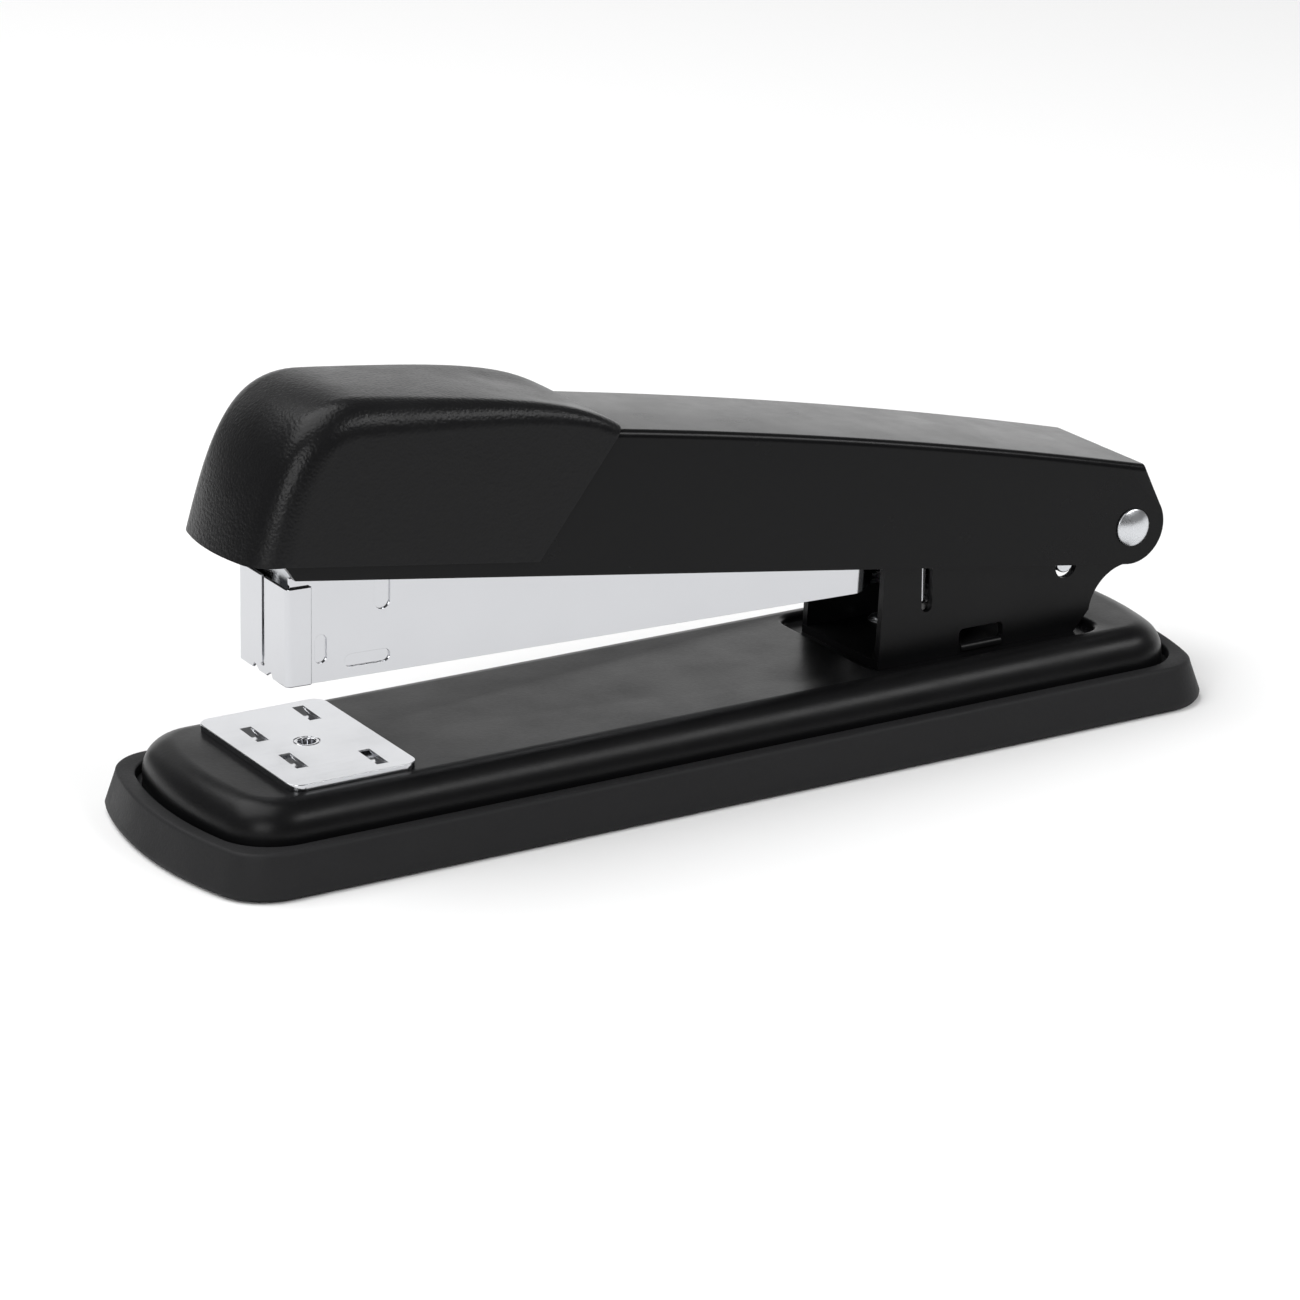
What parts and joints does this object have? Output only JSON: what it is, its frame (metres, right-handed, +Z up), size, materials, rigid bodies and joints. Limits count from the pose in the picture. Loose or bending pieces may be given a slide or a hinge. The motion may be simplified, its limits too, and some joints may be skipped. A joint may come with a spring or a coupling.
{
  "type": "stapler",
  "caption": "Desk stapler with a hinged steel arm, a moulded cap, a bright magazine, a turning anvil and a rubber-soled steel base.",
  "frame": {"origin": "centre of the sole's underside, on the table", "axes": "+Z up, -X towards the nose end and +X towards the pivot end, symmetric about Y = 0"},
  "size_m": [0.1712, 0.0502, 0.0649],
  "materials": {
    "rubber": "matte moulded rubber",
    "black_steel": "satin black powder coat",
    "black_steel_gloss": "semi-gloss black stoved enamel",
    "grained_plastic": "satin black moulded plastic with a fine grain",
    "black_plastic": "matte black moulded plastic",
    "chrome": "bright plated steel sheet",
    "bright_steel": "bright cold-rolled steel strip",
    "spring_steel": "tempered spring steel",
    "plated_steel": "zinc-plated turned steel"
  },
  "bodies": {
    "base": {"sole": "rubber", "base_plate": "black_steel", "bracket": "black_steel", "bracket_rivets": "plated_steel", "spring_pin": "plated_steel", "return_spring": "spring_steel", "pivot_pin": "plated_steel", "pivot_bushes": "plated_steel", "pivot_washers": "plated_steel"},
    "anvil": {"anvil": "chrome", "anvil_post": "chrome", "anvil_spring": "spring_steel", "anvil_button": "black_plastic"},
    "magazine": {"magazine_channel": "chrome", "nose": "chrome", "staple_rail": "bright_steel", "rail_rivets": "bright_steel", "rear_bulkhead": "bright_steel", "stop_pin": "plated_steel", "stop_bars": "chrome", "follower_rod": "plated_steel", "follower_spring": "spring_steel"},
    "follower": {"follower": "bright_steel"},
    "arm": {"arm_shell": "black_steel_gloss", "arm_cap": "grained_plastic", "driver_blade": "bright_steel", "driver_spring": "spring_steel", "driver_rivets": "plated_steel", "blade_rivet": "plated_steel"}
  },
  "joints": [
    {"name": "magazine_pivot", "type": "hinge", "parent": "base", "child": "magazine", "pos_m": [0.0746, 0, 0.02595], "axis": [0, 1, 0], "range_deg": [-4.6, 0], "stiffness_Nm_per_rad": 2, "springref_deg": 17.19, "deforming": ["return_spring"]},
    {"name": "arm_pivot", "type": "hinge", "parent": "magazine", "child": "arm", "pos_m": [0.0746, 0, 0.02595], "axis": [0, 1, 0], "range_deg": [-3.2, 90]},
    {"name": "follower_slide", "type": "slide", "parent": "magazine", "child": "follower", "axis": [0.9997, 0, -0.0244], "range_m": [0, 0.1], "stiffness_N_per_m": 30, "springref_m": -0.05, "deforming": ["follower_spring"]},
    {"name": "anvil_turn", "type": "hinge", "parent": "base", "child": "anvil", "pos_m": [-0.0598, 0, 0.0117], "axis": [0, 0, 1], "range_deg": [0, 180]}
  ]
}
